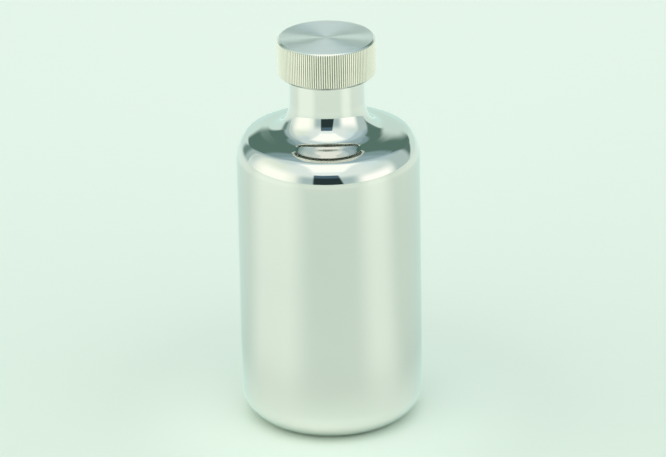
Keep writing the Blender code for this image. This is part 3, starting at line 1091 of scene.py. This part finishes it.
@dataclass
class Swivel:
    """The stud in the cap's boss, with the sliding washer and the clip that carries the stopper."""

    segments: int = 96
    stud_radius: float = 2.0 * MM
    stud_ease: float = 0.08 * MM
    shank_radius: float = 1.7 * MM
    groove_radius: float = 1.3 * MM
    groove_low: float = 188.006 * MM
    groove_high: float = 189.406 * MM
    bottom: float = 187.606 * MM
    shoulder: float = 191.706 * MM
    top: float = 197.006 * MM
    tip_chamfer: float = 0.35 * MM
    thread_pitch: float = 0.7 * MM
    thread_depth: float = 0.2 * MM
    thread_foot: float = 0.3 * MM
    thread_end: float = 0.4 * MM
    thread_rows: int = 70
    washer_radius: float = 4.0 * MM
    washer_hole: float = 2.3 * MM
    washer_low: float = 190.906 * MM
    washer_ease: float = 0.12 * MM
    clip_radius: float = 3.7 * MM
    clip_hole: float = 1.6 * MM
    clip_low: float = 188.306 * MM
    clip_high: float = 189.106 * MM
    clip_opening: float = 70.0
    clip_outer_steps: int = 72
    clip_inner_steps: int = 48
    clip_ease: float = 0.3 * MM
    clip_bevel: float = 0.08 * MM

    def relief(self, turn: float, radius: float, level: float) -> float:
        """The radius with the fine thread on the stud's shank.

        Args:
            turn: the angle round the axis in radians.
            radius: the outline's radius.
            level: the height.

        Returns:
            The radius there.
        """
        if level < self.shoulder + self.thread_pitch or abs(radius - self.shank_radius) > NEAR:
            return radius
        share = (level / self.thread_pitch - turn / (2 * math.pi)) % 1.0
        from_foot = (level - self.shoulder) / self.thread_pitch - 1
        fade = min(1.0, from_foot, (self.top - level) / self.thread_pitch)
        return radius - self.thread_depth * max(0.0, fade) * abs(2 * share - 1)

    def build_clip(self) -> bpy.types.Object:
        """Builds the flat C-shaped clip with eased corners.

        Returns:
            The clip.
        """
        half, bevel = self.clip_opening / 2, self.clip_bevel
        outer = arc((0.0, 0.0), self.clip_radius, half, 360 - half, self.clip_outer_steps)
        inner = arc((0.0, 0.0), self.clip_hole, 360 - half, half, self.clip_inner_steps)
        outline = eased(outer + inner, self.clip_ease)
        mesh = bmesh.new()
        rings = []
        levels = [(self.clip_low, bevel), (self.clip_low + bevel, 0.0), (self.clip_high - bevel, 0.0)]
        for height, inset in [*levels, (self.clip_high, bevel)]:
            ring = []
            for i, point in enumerate(outline):
                ahead = Vector(outline[(i + 1) % len(outline)]) - Vector(outline[i - 1])
                normal = Vector((ahead.y, -ahead.x)).normalized()
                x, y = Vector(point) - normal * inset
                ring.append(mesh.verts.new((x, y, height)))
            rings.append(ring)
        for first, second in zip(rings, rings[1:]):
            join_rings(mesh, first, second)
        mesh.faces.new(rings[0][::-1])
        mesh.faces.new(rings[-1])
        return finished("stud_clip", mesh, sharp=40.0)

    def build_stud(self) -> bpy.types.Object:
        """Builds the stud with its groove and its threaded shank.

        Returns:
            The stud.
        """
        low, high = self.shoulder + self.thread_foot, self.top - self.thread_end
        shank = upright(self.shank_radius, low, high, self.thread_rows)[::-1]
        radii = [self.stud_radius, self.groove_radius, self.stud_radius]
        levels = [self.shoulder, self.groove_high, self.groove_low, self.bottom]
        corners = [shank[-1], (self.shank_radius, self.shoulder), *stepped(radii, levels)]
        rounded = eased([*corners, (0.0, self.bottom)], self.stud_ease, closed=False)[1:]
        tip = [(0.0, self.top), (self.shank_radius - self.tip_chamfer, self.top)]
        return lathe("turning_stud", tip + shank + rounded, self.segments, relief=self.relief)

    def build(self, finishes: Finishes) -> list[bpy.types.Object]:
        """Builds and dresses the three pieces.

        Args:
            finishes: the bottle's materials.

        Returns:
            The pieces.
        """
        stud = self.build_stud()
        levels = [self.shoulder, self.washer_low, self.shoulder]
        section = eased(stepped([self.washer_radius, self.washer_hole], levels), self.washer_ease)
        washer = lathe("sliding_washer", section, self.segments)
        return [
            dress(stud, Body.CAP, [finishes.turned], "swivel_stud"),
            dress(washer, Body.CAP, [finishes.washer], "thrust_washer"),
            dress(self.build_clip(), Body.CAP, [finishes.spring], "retaining_clip"),
        ]


@dataclass
class Stopper:
    """The plug that closes the mouth, with its cover, the flat gasket and the O-ring."""

    flange_radius: float = 18.2 * MM
    flange_low: float = 194.606 * MM
    flange_high: float = 195.906 * MM
    plug_radius: float = 15.0 * MM
    plug_bore: float = 12.6 * MM
    plug_bottom: float = 186.506 * MM
    web_low: float = 189.406 * MM
    web_high: float = 190.606 * MM
    hub_hole: float = 2.3 * MM
    ring_height: float = 188.456 * MM
    ring_radius: float = 14.85 * MM
    ring_wire: float = 0.65 * MM
    groove_floor: float = 13.9 * MM
    groove_half: float = 0.95 * MM
    gasket_inner: float = 15.3 * MM
    gasket_outer: float = 18.0 * MM
    gasket_low: float = 193.306 * MM
    gasket_high: float = 194.306 * MM
    cover_low: float = 185.206 * MM
    cover_high: float = 186.206 * MM
    cover_spigot: float = 12.3 * MM
    spigot_rise: float = 1.0 * MM
    ease: float = 0.15 * MM
    segments: int = 160

    def build(self, finishes: Finishes) -> list[bpy.types.Object]:
        """Builds and dresses the four pieces.

        Args:
            finishes: the bottle's materials.

        Returns:
            The pieces.
        """
        above, below = self.ring_height + self.groove_half, self.ring_height - self.groove_half
        radii = [self.flange_radius, self.plug_radius, self.groove_floor, self.plug_radius]
        radii += [self.plug_bore, self.hub_hole, self.plug_bore]
        levels = [self.flange_high, self.flange_low, above, below, self.plug_bottom]
        levels += [self.web_low, self.web_high, self.flange_high]
        plug = stepped(radii, levels)
        spigot_top = self.cover_high + self.spigot_rise
        cover_levels = [spigot_top, self.cover_high, self.cover_low]
        cover_walls = stepped([self.cover_spigot, self.plug_radius], cover_levels)
        cover = [(0.0, spigot_top), *cover_walls, (0.0, self.cover_low)]
        walls = [self.gasket_outer, self.gasket_inner]
        gasket = stepped(walls, [self.gasket_high, self.gasket_low, self.gasket_high])
        plug_piece = lathe("turned_plug", eased(plug, self.ease), self.segments)
        cover_piece = lathe("turned_cover", eased(cover, self.ease, closed=False), self.segments)
        gasket_piece = lathe("flat_gasket", eased(gasket, self.ease), self.segments)
        ring_piece = wire("silicone_ring", self.ring_radius, self.ring_wire, self.ring_height, 0.0)
        return [
            dress(plug_piece, Body.STOPPER, [finishes.turned], "stopper_plug"),
            dress(cover_piece, Body.STOPPER, [finishes.turned], "plug_cover"),
            dress(gasket_piece, Body.STOPPER, [finishes.silicone], "mouth_gasket"),
            dress(ring_piece, Body.STOPPER, [finishes.silicone], "plug_o_ring"),
        ]


@dataclass(frozen=True)
class Patch:
    """A soft-edged piece of the tent's inside, as the bottle mirrors it.

    On a wall, the first range is its turn in degrees from the camera's side, to the right, and the
    second is its rise over the horizon. Overhead, they run to the right and towards the camera on a
    level plane, for a height of one. The lean draws the first range in as the second rises.
    """

    name: str
    colour: Colour
    across: Point
    along: Point
    across_soft: float
    along_soft: float
    overhead: bool = False
    lean: float = 0.0

    def over(
        self, sheet: Sheet, ground: Value | Colour, wall: tuple[Value, Value], plane: tuple[Value, Value]
    ) -> Value:
        """Lays the patch over what lies below it.

        Args:
            sheet: the world's nodes.
            ground: the colour below it.
            wall: the direction's turn and rise.
            plane: where the direction meets the plane overhead.

        Returns:
            The colour with the patch on it.
        """
        first, second = plane if self.overhead else wall
        leant = first + second * self.lean
        within = leant.band(*self.across, self.across_soft) * second.band(*self.along, self.along_soft)
        return sheet.mix(ground, self.colour, within)


@dataclass(frozen=True)
class Lamp:
    """A round soft lamp that the steel doesn't mirror, as the tent's walls are all that it shows."""

    name: str
    place: tuple[float, float, float]
    width: float
    power: float
    colour: Colour

    def build(self) -> bpy.types.Object:
        """Adds the lamp, aimed at the bottle's foot.

        Returns:
            The lamp.
        """
        data = bpy.data.lights.new(self.name, "AREA")
        data.shape = "DISK"
        data.size = self.width
        data.energy = self.power
        data.color = self.colour
        lamp = bpy.data.objects.new(self.name, data)
        lamp.location = self.place
        lamp.rotation_mode = "QUATERNION"
        lamp.rotation_quaternion = (-Vector(self.place)).to_track_quat("-Z", "Y")
        lamp.visible_camera = False
        lamp.visible_glossy = False
        bpy.context.scene.collection.objects.link(lamp)
        return lamp


@dataclass(frozen=True)
class PaleTable(Finish):
    """Matt pale card with a faint fibre, and painted shade that greys it towards the camera.

    A painted glow, which the card emits round the foot, stands in for the light that the polished
    side throws back on it. The steel mirrors it, more than the camera sees of it, and painted pools
    of light, also emitted, that stand in for the side boxes' light on the card. The pools lie
    between turns in degrees from the camera's side, to the right. The other pairs say where a change
    starts and ends: along Y for the depth, and from the axis for the rest.
    """

    # painted shade: near is the greyer card towards the camera, far the brighter card at the back
    near: Colour = (0.83, 0.925, 0.825)
    far: Colour = (0.93, 0.985, 0.905)
    depth: Point = (-0.25, 0.7)
    fibre: float = 0.02
    fibre_scale: float = 1500.0
    # painted light, emitted by the card: the pools that stand for the side boxes' light
    pool: Colour = (0.17, 0.18, 0.165)
    left_pool: Point = (-101.0, -36.0)
    left_soft: float = 18.0
    right_pool: Point = (40.0, 77.0)
    right_soft: float = 16.0
    pool_rise: Point = (0.03, 0.16)
    far_pool: Colour = (0.32, 0.31, 0.28)
    far_change: Point = (0.22, 0.5)
    far_rise: Point = (0.28, 0.5)
    far_share: float = 0.4
    # painted light, emitted by the card: the glow round the foot
    glow: Colour = (0.20, 0.23, 0.21)
    glow_rise: Point = (0.034, 0.048)
    glow_fall: Point = (0.05, 0.115)
    glow_seen: float = 0.38

    def sockets(self, sheet: Sheet) -> Sockets:
        """Adds the card, the painted glow round the foot and the painted pools of light.

        Args:
            sheet: the material's nodes.

        Returns:
            What the shader's sockets get.
        """
        where = sheet.add("ShaderNodeTexCoord", out="Object")
        x, y, _ = sheet.parts(where)
        turn = x.math("ARCTAN2", -y) * DEGREE
        away = (x * x + y * y).math("SQRT")
        # painted light: pools of light that the card emits, seen only in the steel's mirrored rays
        left = turn.band(*self.left_pool, self.left_soft)
        sides = left.math("MAXIMUM", turn.band(*self.right_pool, self.right_soft))
        far_lit = self.far_share * away.step(*self.far_rise)
        lit = (sides * away.step(*self.pool_rise)).math("MAXIMUM", far_lit)
        pool = sheet.mix(self.pool, self.far_pool, away.step(*self.far_change))
        # painted light: a glow that the card emits round the foot, less of it seen by the camera
        lit_foot = away.step(*self.glow_rise) * (1 - away.step(*self.glow_fall))
        glow = sheet.mix(BLACK, self.glow, lit_foot)
        direct = sheet.mix(BLACK, self.glow, self.glow_seen * lit_foot)
        mirrored = sheet.add("ShaderNodeLightPath", out="Is Glossy Ray")
        fibre = sheet.noise(where, self.fibre_scale)
        # painted shade: the card's colour runs from greyer near the camera to brighter at the back
        card = sheet.mix(self.near, self.far, y.step(*self.depth))
        return {
            "Base Color": sheet.mix(card, BLACK, self.fibre * fibre),
            "Roughness": 0.9,
            "Specular IOR Level": 0.0,
            "Emission Color": sheet.mix(direct, sheet.mix(glow, pool, lit), mirrored),
            "Emission Strength": 1.0,
        }


@dataclass
class Studio:
    """The pale table, the white photo tent round it, its lamps and the camera.

    The scale is in the photograph's pixels for each millimetre at the bottle's axis. The point of
    the axis at the look height falls on the pixel at look_x and look_y. Angles are in degrees.
    """

    table_radius: float = 2.1
    table_segments: int = 128
    elevation: float = 23.2
    distance: float = 2.4
    look_height: float = 0.1
    roll: float = -1.05
    scale: float = 2.0279
    sensor_width: float = 36.0
    clip_end: float = 20.0
    frame_width: float = 666.0
    frame_height: float = 457.0
    look_x: float = 329.5
    look_y: float = 223.65
    first_turn: float = -118.0
    least_height: float = 0.01
    background: Colour = (0.783, 0.913, 0.807)
    tent: Colour = (0.785, 0.94, 0.877)
    patches: tuple[Patch, ...] = (
        Patch("low_rear_wall", (0.76, 0.94, 0.85), (139, 212), (-8, 26), 6, 5),
        Patch("dark_right_corner", (0.13, 0.225, 0.19), (60, 122), (-2, 43), 5, 3, lean=-1.8),
        Patch("grey_right_wall", (0.53, 0.69, 0.66), (70, 122), (-14, 42), 5, 9),
        Patch("right_wall", (0.78, 0.94, 0.88), (20, 90), (-14, 42), 6, 9),
        Patch("upper_left", (0.71, 0.88, 0.88), (-118, -40), (34, 90), 1, 10),
        Patch("upper_right", (0.78, 0.98, 0.98), (40, 84), (34, 90), 8, 10),
        Patch("upper_far_right", (0.52, 0.70, 0.74), (84, 118), (34, 90), 8, 10),
        Patch("left_wall", (0.92, 1.05, 0.91), (-104, -40), (-10, 46), 8, 12),
        Patch("grey_left_side", (0.60, 0.75, 0.70), (-118, -108), (10, 60), 8, 8),
        Patch("upper_front", (0.90, 1.04, 1.0), (-60, 60), (20, 62), 16, 9),
        Patch("panel_foot", (1.0, 1.15, 1.12), (-0.6, 0.42), (1.0, 2.0), 0.1, 0.2, overhead=True),
        Patch("ceiling_panel", (1.27, 1.34, 1.25), (-0.47, 0.48), (0.14, 1.2), 0.1, 0.15, overhead=True),
        Patch("left_softbox", (1.29, 1.36, 1.21), (-98, -46), (-20, 24), 16, 12),
        Patch("right_softbox", (1.33, 1.36, 1.28), (40, 84), (-20, 16), 9, 11),
        Patch("grey_left_rear", (0.46, 0.61, 0.58), (216, 245), (-1, 60), 6, 4),
        Patch("upper_rear", (0.35, 0.50, 0.53), (112, 231), (28, 82), 10, 7),
        Patch("rear_haze", (0.25, 0.39, 0.40), (130, 224), (38, 52), 8, 3),
        Patch("dark_rear", (0.12, 0.215, 0.18), (124, 226), (20, 44), 5, 2.5),
        Patch("dark_left_edge", (0.19, 0.31, 0.27), (219, 232), (0, 22), 4, 4),
        Patch("rear_glow", (0.72, 0.88, 0.79), (163, 184.5), (10, 27.5), 6, 4.5),
        Patch("rear_strip", (2.6, 2.85, 2.85), (174.5, 185.5), (20.5, 25.5), 1, 1),
        Patch("front_gap", (0.47, 0.63, 0.62), (-36, 34), (-6, 19), 8, 8),
        Patch("lens_opening", (0.028, 0.05, 0.05), (-19, 8), (-4.5, 27.5), 1.5, 1.5),
        Patch("lens_side", (0.028, 0.05, 0.05), (0, 17.5), (-4.5, 27.5), 1.5, 1.5, lean=0.18),
        Patch("lens_rim", (0.09, 0.17, 0.22), (-14, 17), (19, 27.5), 1, 3, lean=0.18),
    )
    lamps: tuple[Lamp, ...] = (
        Lamp("overhead_lamp", place=(0.0, 0.0, 1.4), width=2.2, power=5.75, colour=(1.0, 0.73, 0.8)),
    )

    def add_camera(self) -> bpy.types.Object:
        """Adds the camera at the photograph's viewing angle.

        Returns:
            The camera.
        """
        tilt = math.radians(self.elevation)
        back = Vector((0.0, -math.cos(tilt), math.sin(tilt)))
        turn = (-back).to_track_quat("-Z", "Y") @ Quaternion((0, 0, 1), math.radians(self.roll))
        data = bpy.data.cameras.new("camera")
        data.sensor_width = self.sensor_width
        data.lens = self.scale * self.distance / MM / self.frame_width * self.sensor_width
        data.clip_end = self.clip_end
        aside = (self.frame_width / 2 - self.look_x) / self.scale * MM
        down = (self.frame_height / 2 - self.look_y) / self.scale * MM
        camera = bpy.data.objects.new("camera", data)
        camera.rotation_mode = "QUATERNION"
        camera.rotation_quaternion = turn
        target = Vector((0, 0, self.look_height))
        camera.location = target + back * self.distance + turn @ Vector((aside, -down, 0))
        bpy.context.scene.collection.objects.link(camera)
        bpy.context.scene.camera = camera
        return camera

    def add_table(self) -> bpy.types.Object:
        """Adds the pale table, a disc that reaches far beyond the picture.

        Returns:
            The table.
        """
        mesh = bmesh.new()
        radius, segments = self.table_radius, self.table_segments
        bmesh.ops.create_circle(mesh, cap_ends=True, radius=radius, segments=segments)
        table = finished("table", mesh)
        table.data.materials.append(PaleTable().make("pale_table"))
        return table

    def add_tent(self) -> bpy.types.World:
        """Makes the world: the tent for the light and the mirrored rays, a plain ground for the camera.

        Returns:
            The world.
        """
        world = bpy.data.worlds.new("tent")
        bpy.context.scene.world = world
        sheet = Sheet(world)
        x, y, z = sheet.parts(sheet.add("ShaderNodeTexCoord", out="Generated"))
        last_turn = self.first_turn + 360.0
        turn = (x.math("ARCTAN2", -y) * DEGREE).math("WRAP", last_turn, self.first_turn)
        rise = z.math("ARCSINE") * DEGREE
        height = z.math("MAXIMUM", self.least_height)
        walls: Value | Colour = self.tent
        for patch in self.patches:
            walls = patch.over(sheet, walls, (turn, rise), (x / height, -y / height))
        seen = sheet.add("ShaderNodeLightPath", out="Is Camera Ray")
        colour = sheet.mix(walls, self.background, seen)
        light = sheet.add("ShaderNodeBackground", None, {"Color": colour, "Strength": 1.0})
        sheet.node("ShaderNodeOutputWorld", None, {"Surface": light})
        return world

    def build(self) -> None:
        """Builds the whole studio."""
        made = [self.add_camera(), self.add_table(), self.add_tent()]
        made += [lamp.build() for lamp in self.lamps]
        LOG.info("studio: %s", ", ".join(part.name for part in made))
        bpy.context.scene.view_settings.view_transform = "Standard"


def main() -> None:
    """Builds every piece of the bottle and the studio round it."""
    logging.basicConfig(level=logging.INFO, format="%(name)s: %(message)s")
    finishes = Finishes(
        polished=PolishedSteel().make("polished_steel"),
        turned=TurnedSteel().make("turned_steel"),
        knurl=KnurlSteel().make("knurled_steel"),
        face=TurnedSteel(colour=(0.9, 0.91, 0.895), roughness=0.42, spread=0.9).make("turned_face"),
        edge=TurnedSteel(colour=(0.82, 0.82, 0.77), roughness=0.12, spread=0.3).make("turned_edge"),
        spring=SpringSteel().make("spring_steel"),
        insert=MouldedPlastic(colour=(0.82, 0.82, 0.78), roughness=0.4).make("insert_plastic"),
        washer=MouldedPlastic(colour=(0.88, 0.88, 0.88), roughness=0.45).make("washer_plastic"),
        silicone=MouldedPlastic((0.72, 0.75, 0.73), 0.35, coat=0.2, sheen=0.3).make("clear_silicone"),
    )
    pieces = BottleShell().build(finishes)
    pieces += MouthCollar().build(finishes)
    pieces += Stopper().build(finishes)
    pieces += KnurledCap().build(finishes)
    pieces += Swivel().build(finishes)
    LOG.info("%d pieces", len(pieces))
    Studio().build()


if __name__ == "__main__":
    main()
